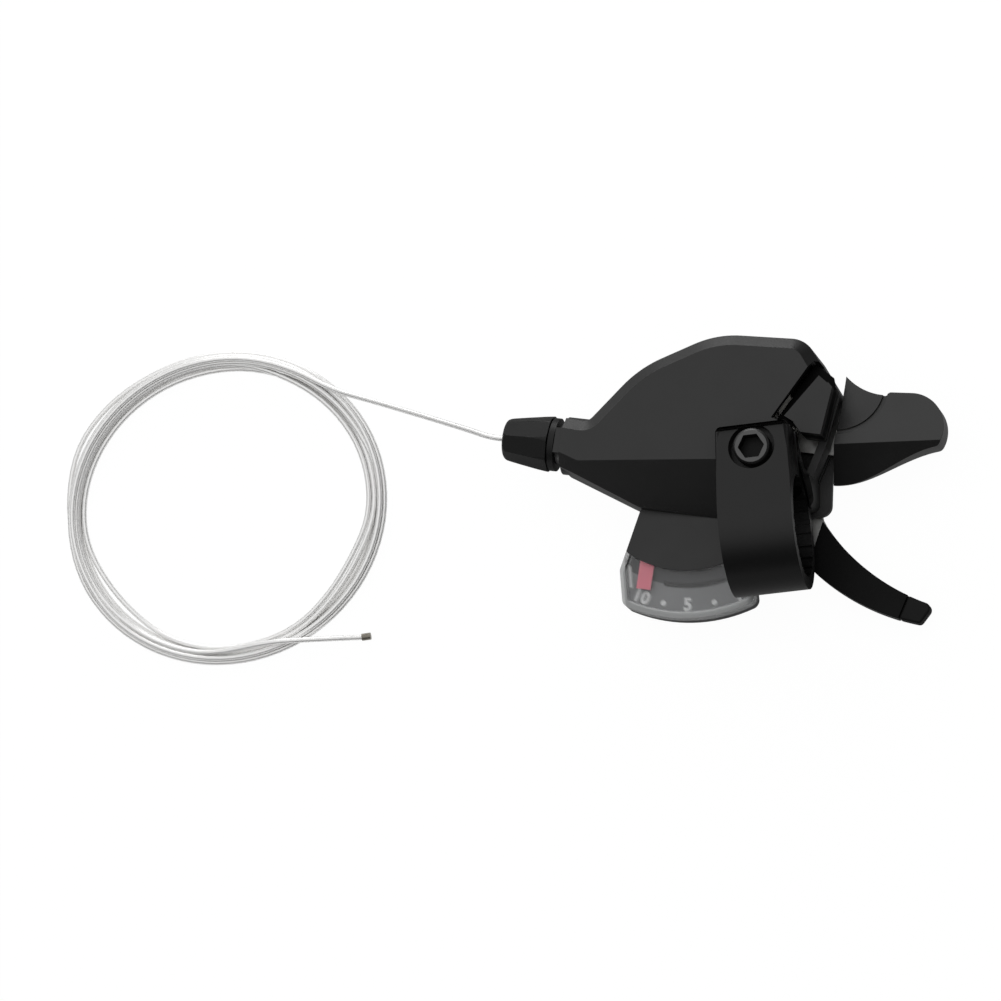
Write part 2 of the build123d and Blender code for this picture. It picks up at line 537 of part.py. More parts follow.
skin_high = THUMB_SKIN + LEVER_THICK + THUMB_LIP
skin = Pos(0, 0, LEVER_FOOT - THUMB_SKIN) * extrude(make_face(skin_edge), skin_high, dir=(0, 0, 1))
skin = fillet(skin.edges().filter_by(Axis.Z).group_by(Axis.X)[-1], THUMB_ROUND) - thumb_arm
lever_end = Vector(0.88, -0.47, 0)
end_cut = beyond(Vector(THUMB_REACH - THUMB_PAD_LONG, THUMB_END_Y, 0), (0, 0, 1), lever_end)
save(skin - end_cut, "thumb_cover")
save(skin & end_cut, "thumb_pad")

# Finger lever: steel arm on the drum's hub and a moulded pad
FINGER_OUT = [(-4.0, 22.4), (10.0, 18.8), (26.0, 15.6), (32.0, 18.0)]
FINGER_BACK = [(24.0, 23.6), (6.0, 28.0), (-4.0, 31.4)]
finger_low = FINGER_TOP - FINGER_THICK
finger_arm = disc(AXLE_X, AXLE_Y, HUB_R + 2.0, finger_low, FINGER_TOP)
finger_arm += plate(FINGER_OUT + FINGER_BACK, finger_low, FINGER_TOP)
finger_arm -= disc(AXLE_X, AXLE_Y, HUB_R + RUN_FIT, -40, 0)
save(finger_arm, "finger_arm")
tip = ThreePointArc(*[(PAD_REACH - inset, y) for inset, y in PAD_TIP])
notch = [(PAD_REACH - inset, y) for inset, y in PAD_NOTCH]
brow = ThreePointArc(notch[1], PAD_BROW, PAD_HORN)
pad_edge = Polyline(tip @ 1, *notch) + brow + Polyline(PAD_HORN, *PAD_BACK, PAD_ROOT)
pad_edge += Spline(PAD_ROOT, *PAD_BELLY, tip @ 0) + tip
pad_plan = make_face(pad_edge)
pad_plan = fillet(pad_plan.vertices().sort_by_distance(tip @ 0)[0], PAD_NOSE_ROUND)
finger_pad = Pos(0, 0, PAD_FOOT) * extrude(pad_plan, PAD_TOP - PAD_FOOT, dir=(0, 0, 1))
ridge_start = (PAD_BACK[1][0], PAD_RIDGE_Y, PAD_TOP)
ridge_plane = Plane(ridge_start) * Rot(0, 0, PAD_RIDGE_DEG) * Rot(PAD_SLOPE_DEG, 0, 0)
finger_pad -= ridge_plane * (Pos(0, 0, BIG / 2) * Box(BIG, BIG, BIG))
scoop_ball = (SCOOP_R**2 + SCOOP_DEEP**2) / (2 * SCOOP_DEEP)
finger_pad -= Pos(*SCOOP_AT, PAD_TOP + scoop_ball - SCOOP_DEEP) * Sphere(scoop_ball)
finger_pad -= disc(*SCOOP_AT, SCOOP_R + SCOOP_LINE / 2, PAD_TOP - 0.9, PAD_TOP + 1, SCOOP_R - SCOOP_LINE / 2)
finger_pad -= finger_arm
save(finger_pad, "finger_pad")

# Return spring of the thumb lever, wound round the axle under the ratchet wheel
coil_foot = LEVER_TOP + SPRING_WIRE_R + 0.1
coils = Helix(SPRING_PITCH, SPRING_TALL, SPRING_R, center=(AXLE_X, AXLE_Y, coil_foot))
wire_face = Plane(coils @ 0, z_dir=coils % 0) * Circle(SPRING_WIRE_R)
save(sweep(wire_face, path=coils), "lever_spring")

# Pawls on their pins: each nose rides just clear of the tooth tips
pawl_low = PAWL_TOP - PAWL_THICK


def pawl(pin_at, nose_deg, back):
    """A pawl plate from its pin to a pointed nose at the tooth tips."""
    near = RATCHET_TIP_R + LOOSE
    tip = [around((AXLE_X, AXLE_Y), near, nose_deg - 1.0), around((AXLE_X, AXLE_Y), near, nose_deg + 1.0)]
    root = [around(pin_at, 1.7, back), around(pin_at, 1.7, back + 180)]
    body = disc(*pin_at, 1.7, pawl_low, PAWL_TOP) + plate([*tip, *root], pawl_low, PAWL_TOP)
    return body - disc(*pin_at, 0.9 + RUN_FIT, -40, 0)


save(pawl(wind_pin_at, WIND_NOSE_DEG, WIND_NOSE_DEG - 40), "winding_pawl")
save(disc(*wind_pin_at, 0.9, LEVER_TOP, PAWL_TOP), "winding_pin")
hold_pin_at = around((AXLE_X, AXLE_Y), PAWL_R, HOLD_NOSE_DEG - 25)
save(pawl(hold_pin_at, HOLD_NOSE_DEG, HOLD_NOSE_DEG - 40), "holding_pawl")
save(disc(*hold_pin_at, 0.9, FLOOR_FOOT + FLOOR_THICK, PAWL_TOP + 0.4), "holding_pin")

# Cable adjuster: threaded sleeve, knob with soft flats, collar and wave washer
cable_bore = on_cable(-BIG / 2, SLEEVE_BORE_R, BIG)
sleeve_way = on_cable(-BIG / 2, SLEEVE_R + RUN_FIT, BIG)
adjuster_sleeve = on_cable(-SLEEVE_IN, SLEEVE_R, SLEEVE_IN + SLEEVE_OUT) - cable_bore
save(adjuster_sleeve, "adjuster_sleeve")
knob_start = Plane(neck_end - along * KNOB_GAP, x_dir=across, z_dir=along * -1)
knob_side = ThreePointArc((KNOB_BIG_R, 0), (KNOB_MID_R, KNOB_LENGTH / 2), (KNOB_SMALL_R, KNOB_LENGTH))
knob_core = Polyline((KNOB_SMALL_R, KNOB_LENGTH), (0, KNOB_LENGTH), (0, 0), (KNOB_BIG_R, 0))
knob_half = make_face(knob_side + knob_core)
nose_corner = knob_half.vertices().sort_by_distance((KNOB_SMALL_R, KNOB_LENGTH, 0))[0]
knob_half = fillet(nose_corner, KNOB_NOSE_ROUND)
flats = fillet(RegularPolygon(KNOB_BIG_R - KNOB_FLAT, 8, major_radius=False).vertices(), KNOB_CORNER)
knob_taper = math.degrees(math.atan2(KNOB_BIG_R - KNOB_SMALL_R, KNOB_LENGTH))
knob = revolve(Plane.XZ * knob_half, Axis.Z) & extrude(flats, KNOB_LENGTH, taper=knob_taper)
adjuster_knob = knob_start * knob - on_cable(-SLEEVE_IN, SLEEVE_R, SLEEVE_IN + SLEEVE_OUT) - cable_bore
save(adjuster_knob, "adjuster_knob")
save(on_cable(COLLAR_FROM, COLLAR_R, COLLAR_THICK) - sleeve_way, "adjuster_collar")
save(on_cable(0.1, 4.2, COLLAR_FROM - 0.2) - sleeve_way, "adjuster_washer")

# Cable: a straight run from the drum to the coil, the coil, and the free tail with its tip
leave = neck_end - along * LEAVE
join = Vector(-108.0, 53.5, FLOOR_Z + COIL_HIGH / 2)
half_turn = math.radians((join - leave).get_angle(leave - tangent) / 2)
bend = (LEAVE - KNOB_GAP - KNOB_LENGTH) / math.tan(half_turn)
route = FilletPolyline(tangent, leave, join, radius=bend)
print("cable bend radius", round(bend, 1), "run length", round(route.length, 1))
start_plane = Plane(tangent, x_dir=(0, 0, 1), z_dir=leave - tangent)
inner_cable = sweep(start_plane * Circle(WIRE_R), path=route)
section = math.pi * WIRE_R**2
print("cable volume", round(inner_cable.volume, 1), "section x length", round(section * route.length, 1))
save(inner_cable, "inner_cable")
save(disc(head_spot.X, head_spot.Y, HEAD_PLUG_R, CABLE_Z - 2.0, CABLE_Z + 1.8), "cable_head")
ring_plane = Plane.XZ * (Pos(COIL_R, 0) * Ellipse(COIL_WIDE / 2, COIL_HIGH / 2))
cable_coil = Pos(*COIL_CENTRE, FLOOR_Z + COIL_HIGH / 2) * revolve(ring_plane, Axis.Z)
save(cable_coil, "cable_coil")
tail_from = Vector(-124.0, -9.6, FLOOR_Z + COIL_HIGH / 2)
tail_to = Vector(-97.5, -8.6, FLOOR_Z + WIRE_R + 0.2)
tail_plane = Plane(tail_from, z_dir=tail_to - tail_from)
tail_length = (tail_to - tail_from).length
save(tail_plane * (Pos(0, 0, tail_length / 2) * Cylinder(WIRE_R, tail_length)), "cable_tail")
save(tail_plane * (Pos(0, 0, tail_length + TIP_LONG / 2) * Cylinder(WIRE_R + 0.2, TIP_LONG)), "cable_tip")
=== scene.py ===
# %% [markdown]
# # A trigger gear shifter
# The shifter is a moulded case under a handlebar clamp, with a gear display, two levers and a wire that comes
# out of an adjuster and lies in a coil. The frame below already holds every solid part in its right place,
# so this lesson only adds what a camera sees: rounded moulded edges, printed marks, the wire and the finishes.

# %% Load the frame
import math

import bpy
from mathutils import Matrix, Vector


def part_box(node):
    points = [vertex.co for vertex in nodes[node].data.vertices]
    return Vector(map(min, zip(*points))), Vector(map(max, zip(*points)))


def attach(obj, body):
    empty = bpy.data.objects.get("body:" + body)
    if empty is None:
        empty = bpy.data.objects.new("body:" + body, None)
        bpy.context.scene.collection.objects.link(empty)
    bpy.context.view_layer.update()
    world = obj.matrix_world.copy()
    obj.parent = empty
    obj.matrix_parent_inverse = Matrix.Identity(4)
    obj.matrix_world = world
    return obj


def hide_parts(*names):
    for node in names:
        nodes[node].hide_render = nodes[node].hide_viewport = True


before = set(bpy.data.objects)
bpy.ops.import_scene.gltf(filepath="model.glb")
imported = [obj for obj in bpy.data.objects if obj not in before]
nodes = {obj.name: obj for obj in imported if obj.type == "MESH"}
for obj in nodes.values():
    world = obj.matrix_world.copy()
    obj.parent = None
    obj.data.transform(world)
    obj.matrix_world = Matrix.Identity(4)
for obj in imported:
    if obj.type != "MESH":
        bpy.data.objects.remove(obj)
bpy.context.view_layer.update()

MM = 0.001
scene = bpy.context.scene
scene.view_settings.view_transform = "Standard"
print("nodes in the frame:", len(nodes))

# %% [markdown]
# The photograph looks down on the cover from a little to the right and from the rider's side. A long lens from
# a good distance keeps the clamp and the coil in proportion, as a product photographer would do.

# %% Camera
PICTURE = 1001
FOCAL_PX = 5520.0
AWAY = 1.2
SENSOR_MM = 36
right = Vector((0.981, -0.083, -0.176)).normalized()
towards = Vector((0.156, -0.199, 0.967)).normalized()
up = towards.cross(right).normalized()
origin_px = (766.0, 530.0)
eye = towards * AWAY
aside = (PICTURE / 2 - origin_px[0]) / FOCAL_PX
above = (origin_px[1] - PICTURE / 2) / FOCAL_PX
aim = -towards + right * aside + up * above
back = -aim.normalized()
side = up.cross(back).normalized()
turn = Matrix((side, back.cross(side), back)).transposed()
bpy.ops.object.select_all(action="DESELECT")
bpy.ops.object.camera_add()
camera = bpy.context.object
camera.matrix_world = Matrix.Translation(eye) @ turn.to_4x4()
camera.data.sensor_width = SENSOR_MM
camera.data.lens = FOCAL_PX * SENSOR_MM / PICTURE
camera.data.clip_end = 20
scene.camera = camera
print("lens", round(camera.data.lens, 1), "mm")

# %% [markdown]
# The inner wire is about two metres of stranded steel, 1.2 mm thick. It runs straight out of the adjuster, lands
# on a neat hand-wound coil and leaves it as a short tail. One smooth spline carries the whole wire: the route's
# own points first, then the turns of the coil, worked out by a loop that moves each turn to the next place in
# the bundle.

# %% The wire
WIRE_R = 0.6
FLOOR_Z = -25.3
COIL_MIDDLE = (-126.95, 24.55)
COIL_RX = 35.4
COIL_RY = 33.85
START_DEG = 50.0
END_DEG = 270 + 8 * 360
STEPS = 172
STEP_DEG = (END_DEG - START_DEG) / STEPS
CURVE_STEPS = 4
TOP_WIDER = 0.08
places = [(0.3, 3.75), (0.95, 2.7), (1.8, 1.65), (1.25, 0.6), (0.0, 0.6)]
places += [(-1.25, 0.6), (-1.8, 1.65), (-0.6, 1.65), (0.6, 1.65), (-0.3, 2.7)]
SHIFT_FIRST = 200.0
SHIFT_EARLIER = 24.0
SHIFT_LONG = 24.0
stray = [(868, 40, 1.4), (2015, 38, -1.8), (2125, 30, -1.8), (2485, 28, -1.6)]


def ease(share):
    """A soft step from 0 to 1."""
    share = max(0.0, min(1.0, share))
    return share * share * (3 - 2 * share)


def place_at(degrees):
    """Where in the bundle the wire lies. Once a turn it eases over to the next place, which the turn after it has
    just left, and in a few spots it strays from the bundle."""
    out, high = places[0]
    for turn in range(len(places) - 1):
        begins = SHIFT_FIRST - SHIFT_EARLIER * turn + 360 * turn
        share = ease((degrees - begins) / SHIFT_LONG)
        out += share * (places[turn + 1][0] - places[turn][0])
        high += share * (places[turn + 1][1] - places[turn][1])
    out *= 1.0 + TOP_WIDER * math.sin(math.radians(degrees))
    out += sum(size * ease(1 - abs(degrees - middle) / half) for middle, half, size in stray)
    return out, high


wire_points = [(-6.32, 16.83, -8.6), (-30.0, 22.47, -8.6), (-57.0, 28.90, -8.6), (-61.73, 30.04, -8.6)]
wire_points += [(-66.2, 32.5, -10.1), (-90.0, 43.9, -18.4), (-99.5, 48.1, -21.2)]
for step in range(STEPS):
    degrees = START_DEG + STEP_DEG * (step + 0.5)
    out, high = place_at(degrees)
    wider = 1 / math.cos(math.radians(STEP_DEG / 2))
    angle = math.radians(degrees)
    x = COIL_MIDDLE[0] + (COIL_RX + out) * wider * math.cos(angle)
    y = COIL_MIDDLE[1] + (COIL_RY + out) * wider * math.sin(angle)
    wire_points.append((x, y, FLOOR_Z + high))
wire_points += [(-119.0, -7.9, FLOOR_Z + 4.3), (-111.5, -8.2, FLOOR_Z + 4.3), (-97.5, -8.6, FLOOR_Z + 0.8)]

bpy.ops.object.select_all(action="DESELECT")
bpy.ops.curve.primitive_nurbs_path_add()
wire = bpy.context.object
wire.name = "shift_wire"
wire.data.splines.clear()
spline = wire.data.splines.new("NURBS")
spline.points.add(len(wire_points) - 1)
for point, (x, y, z) in zip(spline.points, wire_points):
    point.co = (x * MM, y * MM, z * MM, 1)
    point.radius = WIRE_R * MM
spline.order_u = 3
spline.use_endpoint_u = True
spline.resolution_u = CURVE_STEPS
wire.data.resolution_u = CURVE_STEPS
wire.data.bevel_depth = 1.0
wire.data.bevel_resolution = 3
wire.data.use_fill_caps = True
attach(wire, "housing")
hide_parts("inner_cable", "cable_coil", "cable_tail")
bpy.context.view_layer.update()

# %% [markdown]
# Every finish needs colours and a few shader nodes. Colours are picked as sRGB hex values and turned to linear
# light by one function, and one small function adds a node with its settings and links.

# %% Colour and node helpers


def ink(code):
    """A hex colour as linear light with full cover."""
    levels = [int(code[i:i + 2], 16) / 255 for i in (0, 2, 4)]
    return tuple([v / 12.92 if v <= 0.04045 else ((v + 0.055) / 1.055) ** 2.4 for v in levels] + [1.0])


def add(tree, kind, links=None, values=None, **settings):
    """One node with its settings, its fixed socket values and the links into it."""
    made = tree.nodes.new(kind)
    for name, value in settings.items():
        setattr(made, name, value)
    for name, value in (values or {}).items():
        made.inputs[name].default_value = value
    for name, source in (links or {}).items():
        tree.links.new(source, made.inputs[name])
    return made


def blank(name):
    """A new material with only its shader and its output, and its Object coordinates."""
    made = bpy.data.materials.new(name)
    made.use_nodes = True
    tree = made.node_tree
    shader = tree.nodes["Principled BSDF"]
    place = add(tree, "ShaderNodeTexCoord").outputs["Object"]
    return made, tree, shader, place


# %% [markdown]
# The case is glass-filled nylon from a spark-eroded mould: satin charcoal with a fine grain of about 0.15 mm,
# which would be lost at this distance, so it is drawn at about 0.35 mm. A slow cloud of a few millimetres
# changes the gloss a little, as handled plastic shows.

# %% Moulded plastics
CLOUD_MM = 6.0
NYLON_IOR = 1.53


def moulded(name, dark, light, rough, grain_mm=0.35, depth=0.03, spread=0.08, coat=0.0, shine=0.5):
    """A satin moulded plastic: two close colours in soft clouds, and a spark-eroded grain."""
    made, tree, shader, place = blank(name)
    cloud = add(tree, "ShaderNodeTexNoise", {"Vector": place}, {"Scale": 1 / (CLOUD_MM * MM), "Detail": 3.0})
    tint = add(tree, "ShaderNodeMix", {"Factor": cloud.outputs["Fac"]}, data_type="RGBA")
    tint.inputs["A"].default_value = ink(dark)
    tint.inputs["B"].default_value = ink(light)
    tree.links.new(tint.outputs["Result"], shader.inputs["Base Color"])
    limits = {"To Min": rough - spread, "To Max": rough + spread}
    gloss = add(tree, "ShaderNodeMapRange", {"Value": cloud.outputs["Fac"]}, limits)
    tree.links.new(gloss.outputs["Result"], shader.inputs["Roughness"])
    grain = add(tree, "ShaderNodeTexNoise", {"Vector": place}, {"Scale": 1 / (grain_mm * MM), "Detail": 2.0})
    bump = add(tree, "ShaderNodeBump", {"Height": grain.outputs["Fac"]}, {"Strength": 0.35, "Distance": depth * MM})
    tree.links.new(bump.outputs["Normal"], shader.inputs["Normal"])
    shader.inputs["IOR"].default_value = NYLON_IOR
    shader.inputs["Specular IOR Level"].default_value = shine
    shader.inputs["Coat Weight"].default_value = coat
    shader.inputs["Coat Roughness"].default_value = 0.12
    return made


cover_nylon = moulded("spark_eroded_nylon_cover", "121212", "181818", 0.40, shine=0.42)
tray_nylon = moulded("spark_eroded_nylon_tray", "121212", "181818", 0.42, shine=0.42)
knob_nylon = moulded("spark_eroded_nylon_knob", "0b0b0b", "101010", 0.50, shine=0.26)
lever_nylon = moulded("polished_nylon_lever", "0f0f0f", "141414", 0.34, coat=0.05)
pad_nylon = moulded("grey_soft_touch_pad", "0e0e0e", "141414", 0.55, shine=0.15)
thumb_nylon = moulded("black_nylon_lever", "040404", "060606", 0.42, shine=0.1)
pointer_acetal = moulded("dark_acetal_pointer", "2b2c2e", "343638", 0.45)
drum_acetal = moulded("pale_acetal_drum", "b9b8b2", "c6c5bf", 0.40)
flag_acetal = moulded("red_acetal_flag", "f8748a", "ff94a6", 0.42)

# %% [markdown]
# The scale is a grey plate with a lighter printed band under the numbers. The band is a ring about the pointer's
# pivot, so its edge comes from the distance to that pivot.

# %% Scale plate
PIVOT = (-17.9, 18.8)
BAND_FROM = 26.2
scale_abs, tree, shader, place = blank("grey_printed_scale")
flat = add(tree, "ShaderNodeVectorMath", {0: place}, {1: (1, 1, 0)}, operation="MULTIPLY")
middle = (PIVOT[0] * MM, PIVOT[1] * MM, 0)
reach = add(tree, "ShaderNodeVectorMath", {0: flat.outputs["Vector"]}, {1: middle}, operation="DISTANCE")
edge = {"From Min": BAND_FROM * MM, "From Max": (BAND_FROM + 0.3) * MM}
band_share = add(tree, "ShaderNodeMapRange", {"Value": reach.outputs["Value"]}, edge)
speck = add(tree, "ShaderNodeTexNoise", {"Vector": place}, {"Scale": 1 / (0.4 * MM), "Detail": 2.0})
tones = [("3e3e40", "464648"), ("8c8c8e", "969698")]
mixes = []
for dark, light in tones:
    tone = add(tree, "ShaderNodeMix", {"Factor": speck.outputs["Fac"]}, data_type="RGBA")
    tone.inputs["A"].default_value = ink(dark)
    tone.inputs["B"].default_value = ink(light)
    mixes.append(tone.outputs["Result"])
printed = add(tree, "ShaderNodeMix", {"Factor": band_share.outputs["Result"]}, data_type="RGBA")
tree.links.new(mixes[0], printed.inputs["A"])
tree.links.new(mixes[1], printed.inputs["B"])
tree.links.new(printed.outputs["Result"], shader.inputs["Base Color"])
grain = add(tree, "ShaderNodeBump", {"Height": speck.outputs["Fac"]}, {"Strength": 0.2, "Distance": 0.02 * MM})
tree.links.new(grain.outputs["Normal"], shader.inputs["Normal"])
shader.inputs["Roughness"].default_value = 0.5
print("scale band starts", BAND_FROM, "mm from the pivot")

# %% [markdown]
# The metal parts are plated, bare or coated steel and bare alloy. Turned and stamped steel has fine lines from
# the tool; the clamp band is coated and has only the grain of its powder.

# %% Metals


def metal(name, dark, light, rough, grain_mm, stretch=(1, 1, 1), metallic=1.0, shine=0.5):
    """A metal with a fine grain that changes its colour and gloss, drawn out along one way by stretch."""
    made, tree, shader, place = blank(name)
    laid = add(tree, "ShaderNodeMapping", {"Vector": place}, {"Scale": stretch})
    fine = {"Scale": 1 / (grain_mm * MM), "Detail": 3.0}
    grain = add(tree, "ShaderNodeTexNoise", {"Vector": laid.outputs["Vector"]}, fine)
    tint = add(tree, "ShaderNodeMix", {"Factor": grain.outputs["Fac"]}, data_type="RGBA")
    tint.inputs["A"].default_value = ink(dark)
    tint.inputs["B"].default_value = ink(light)
    tree.links.new(tint.outputs["Result"], shader.inputs["Base Color"])
    limits = {"To Min": rough - 0.08, "To Max": rough + 0.1}
    gloss = add(tree, "ShaderNodeMapRange", {"Value": grain.outputs["Fac"]}, limits)
    tree.links.new(gloss.outputs["Result"], shader.inputs["Roughness"])
    bump = add(tree, "ShaderNodeBump", {"Height": grain.outputs["Fac"]}, {"Strength": 0.25, "Distance": 0.02 * MM})
    tree.links.new(bump.outputs["Normal"], shader.inputs["Normal"])
    shader.inputs["Metallic"].default_value = metallic
    shader.inputs["Specular IOR Level"].default_value = shine
    return made


band_coat = metal("powder_coated_band", "0a0a0a", "0f0f0f", 0.36, 0.5, metallic=0.0, shine=0.32)
bolt_black = metal("black_oxide_bolt", "4a4a4a", "5c5c5c", 0.40, 0.4)
gear_steel = metal("stamped_bare_steel", "9a9a98", "b8b8b6", 0.36, 0.3, stretch=(1, 1, 0.3))
adjuster_alloy = metal("turned_bare_alloy", "6c6c6c", "848484", 0.40, 0.3)
wire_steel = metal("stranded_bright_wire", "f7f6f4", "ffffff", 0.33, 0.9, metallic=0.5, shine=1.0)
tip_metal = metal("dark_crimped_tip", "6e6a62", "8e8a80", 0.40, 0.4)

# %% [markdown]
# Little light reaches the bottom of the bolt's socket or of the narrow gap beside the cover, so shade is painted
# there: between two heights the finish is made nearly black and less glossy.

# %% Painted shade in recesses


def painted_shade_between_heights(made, low_mm, high_mm, tone):
    """Paints shade: makes a finish dark and less glossy between two heights."""
    tree = made.node_tree
    shader = tree.nodes["Principled BSDF"]
    place = add(tree, "ShaderNodeTexCoord").outputs["Object"]
    height = add(tree, "ShaderNodeSeparateXYZ", {"Vector": place}).outputs["Z"]
    centre = (low_mm + high_mm) / 2 * MM
    half = (high_mm - low_mm) / 2 * MM
    off = add(tree, "ShaderNodeMath", {0: height}, {1: centre}, operation="SUBTRACT")
    off = add(tree, "ShaderNodeMath", {0: off.outputs[0]}, operation="ABSOLUTE")
    in_painted_shade = add(tree, "ShaderNodeMath", {0: off.outputs[0]}, {1: half}, operation="LESS_THAN")
    unshaded_colour = shader.inputs["Base Color"].links[0].from_socket
    tint = add(tree, "ShaderNodeMix", {"Factor": in_painted_shade.outputs[0]}, data_type="RGBA")
    tree.links.new(unshaded_colour, tint.inputs["A"])
    tint.inputs["B"].default_value = ink(tone)
    tree.links.new(tint.outputs["Result"], shader.inputs["Base Color"])
    shine = shader.inputs["Specular IOR Level"].default_value
    shade_shine = add(tree, "ShaderNodeMapRange", {"Value": in_painted_shade.outputs[0]}, {"To Min": shine, "To Max": 0.05})
    tree.links.new(shade_shine.outputs["Result"], shader.inputs["Specular IOR Level"])


# Painted shade on the bolt below the top of its head, in the socket and down the shank, and on the tray's floor of
# the gap beside the cover.
painted_shade_between_heights(bolt_black, -20.0, 10.2, "1c1c1c")
painted_shade_between_heights(tray_nylon, -6.6, -3.0, "040404")
print("dark sockets and gaps")

# %% [markdown]
# The window is clear moulded polycarbonate: almost no colour, a smooth face and a high index. Its outer wall is
# drawn paler and less clear along the arc; along the left edge this pale band is a painted highlight of the wall.

# %% Window
RIM_FROM = 32.3
RIM_LEFT = -34.1
RIM_FADE = 0.4
window_clear, tree, shader, place = blank("clear_polycarbonate_window")
waves = add(tree, "ShaderNodeTexNoise", {"Vector": place}, {"Scale": 1 / (9 * MM), "Detail": 1.0})
ripple = add(tree, "ShaderNodeBump", {"Height": waves.outputs["Fac"]}, {"Strength": 0.15, "Distance": 0.05 * MM})
tree.links.new(ripple.outputs["Normal"], shader.inputs["Normal"])
flat = add(tree, "ShaderNodeVectorMath", {0: place}, {1: (1, 1, 0)}, operation="MULTIPLY")
reach = add(tree, "ShaderNodeVectorMath", {0: flat.outputs["Vector"]}, {1: middle}, operation="DISTANCE")
along_arc = {"From Min": RIM_FROM * MM, "From Max": (RIM_FROM + RIM_FADE) * MM}
rim = add(tree, "ShaderNodeMapRange", {"Value": reach.outputs["Value"]}, along_arc)
sideways = add(tree, "ShaderNodeSeparateXYZ", {"Vector": place})
along_left = {"From Min": (RIM_LEFT + RIM_FADE) * MM, "From Max": RIM_LEFT * MM}
left = add(tree, "ShaderNodeMapRange", {"Value": sideways.outputs["X"]}, along_left)
# Painted highlight: the wall is made paler and less clear along the left edge, and along the arc as well.
pale_rim_and_painted_highlight = add(tree, "ShaderNodeMath", {0: rim.outputs["Result"], 1: left.outputs["Result"]}, operation="MAXIMUM")
clear = add(tree, "ShaderNodeMapRange", {"Value": pale_rim_and_painted_highlight.outputs[0]}, {"To Min": 1.0, "To Max": 0.35})
solid = add(tree, "ShaderNodeMapRange", {"Value": pale_rim_and_painted_highlight.outputs[0]}, {"To Min": 0.5, "To Max": 0.65})
tree.links.new(clear.outputs["Result"], shader.inputs["Transmission Weight"])
tree.links.new(solid.outputs["Result"], shader.inputs["Alpha"])
shader.inputs["Base Color"].default_value = ink("eef0f0")
shader.inputs["Roughness"].default_value = 0.04
shader.inputs["IOR"].default_value = 1.58
print("materials so far:", len(bpy.data.materials))

# %% [markdown]
# The solids come with sharp corners, and every real moulding has small rounds that catch the light. Each moulded
# part is copied, its triangles are merged and dissolved back into faces, and a bevel rounds the edges. The copy
# then stands for the solid it was made from.

# %% Round the moulded edges
MERGE_MM = 0.002
FLAT_DEG = 0.6
SMOOTH_DEG = 34
EAR_ROUND_MM = 1.35


def rounded(node, width_mm, material, body, segments=2, angle=28, front=None):
    """A copy of a solid part with rounded edges, which takes that part's place. Edges of its sides that lie past
    a front line are rounded more."""
    bpy.ops.object.select_all(action="DESELECT")
    piece = bpy.data.objects.new(node + "_moulded", nodes[node].data.copy())
    scene.collection.objects.link(piece)
    piece.matrix_world = nodes[node].matrix_world.copy()
    bpy.context.view_layer.objects.active = piece
    piece.select_set(True)
    bpy.ops.object.transform_apply(location=True, rotation=True, scale=True)
    bpy.ops.object.mode_set(mode="EDIT")
    bpy.ops.mesh.select_all(action="SELECT")
    bpy.ops.mesh.remove_doubles(threshold=MERGE_MM * MM)
    bpy.ops.mesh.dissolve_limited(angle_limit=math.radians(FLAT_DEG))
    bpy.ops.mesh.select_all(action="DESELECT")
    bpy.ops.object.mode_set(mode="OBJECT")
    if front:
        half = max(v.co.x for v in piece.data.vertices) - 0.05 * MM
        for edge in piece.data.edges:
            ends = [piece.data.vertices[i].co for i in edge.vertices]
            edge.select = all(v.y > front * MM and abs(v.x) > half for v in ends)
        bpy.ops.object.mode_set(mode="EDIT")
        bpy.ops.mesh.bevel(offset=EAR_ROUND_MM * MM, segments=4)
        bpy.ops.object.mode_set(mode="OBJECT")
    bevel = piece.modifiers.new("round", "BEVEL")
    bevel.width = width_mm * MM
    bevel.segments = segments
    bevel.limit_method = "ANGLE"
    bevel.angle_limit = math.radians(angle)
    bevel.use_clamp_overlap = True
    bevel.miter_outer = "MITER_ARC"
    bpy.ops.object.modifier_apply(modifier="round")
    bpy.ops.object.shade_smooth_by_angle(angle=math.radians(SMOOTH_DEG))
    flow = piece.modifiers.new("flow", "WEIGHTED_NORMAL")
    flow.keep_sharp = True
    flow.weight = 60
    bpy.ops.object.modifier_apply(modifier="flow")
    piece.data.materials.clear()
    piece.data.materials.append(material)
    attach(piece, body)
    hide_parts(node)
    print(piece.name, len(piece.data.polygons), "faces")


rounded("top_cover", 0.35, cover_nylon, "housing")
rounded("lower_housing", 0.35, tray_nylon, "housing")
rounded("clamp_band", 0.45, band_coat, "housing", front=20.3)
rounded("finger_pad", 0.7, lever_nylon, "finger_lever", segments=3)
rounded("thumb_cover", 0.6, thumb_nylon, "thumb_lever", segments=3)
rounded("thumb_pad", 0.6, pad_nylon, "thumb_lever", segments=3)
rounded("adjuster_knob", 0.5, knob_nylon, "adjuster", segments=3)
rounded("clamp_bolt", 0.2, bolt_black, "housing")

# %% [markdown]
# The other parts keep their shape and only take a finish that belongs to what they are made of.

# %% Finishes of the other parts
finishes = {
    bolt_black: ["clamp_nut", "clamp_screws", "cover_screws"],
    knob_nylon: ["adjuster_collar"],
    gear_steel: [
        "pointer_pin", "drum_spring", "main_axle", "axle_washer", "axle_nut", "lever_spring", "holding_pin",
        "winding_pin", "winding_pawl", "holding_pawl", "ratchet_wheel", "thumb_arm", "finger_arm", "cable_head",
    ],
    adjuster_alloy: ["adjuster_sleeve", "adjuster_washer"],
    pointer_acetal: ["pointer"],
    flag_acetal: ["pointer_flag"],
    drum_acetal: ["winding_drum"],
    scale_abs: ["scale_plate"],
    window_clear: ["display_lens"],
    tip_metal: ["cable_tip"],
}
for material, names in finishes.items():
    for name in names:
        nodes[name].data.materials.clear()
        nodes[name].data.materials.append(material)
wire.data.materials.append(wire_steel)
print("finished parts:", sum(len(names) for names in finishes.values()))
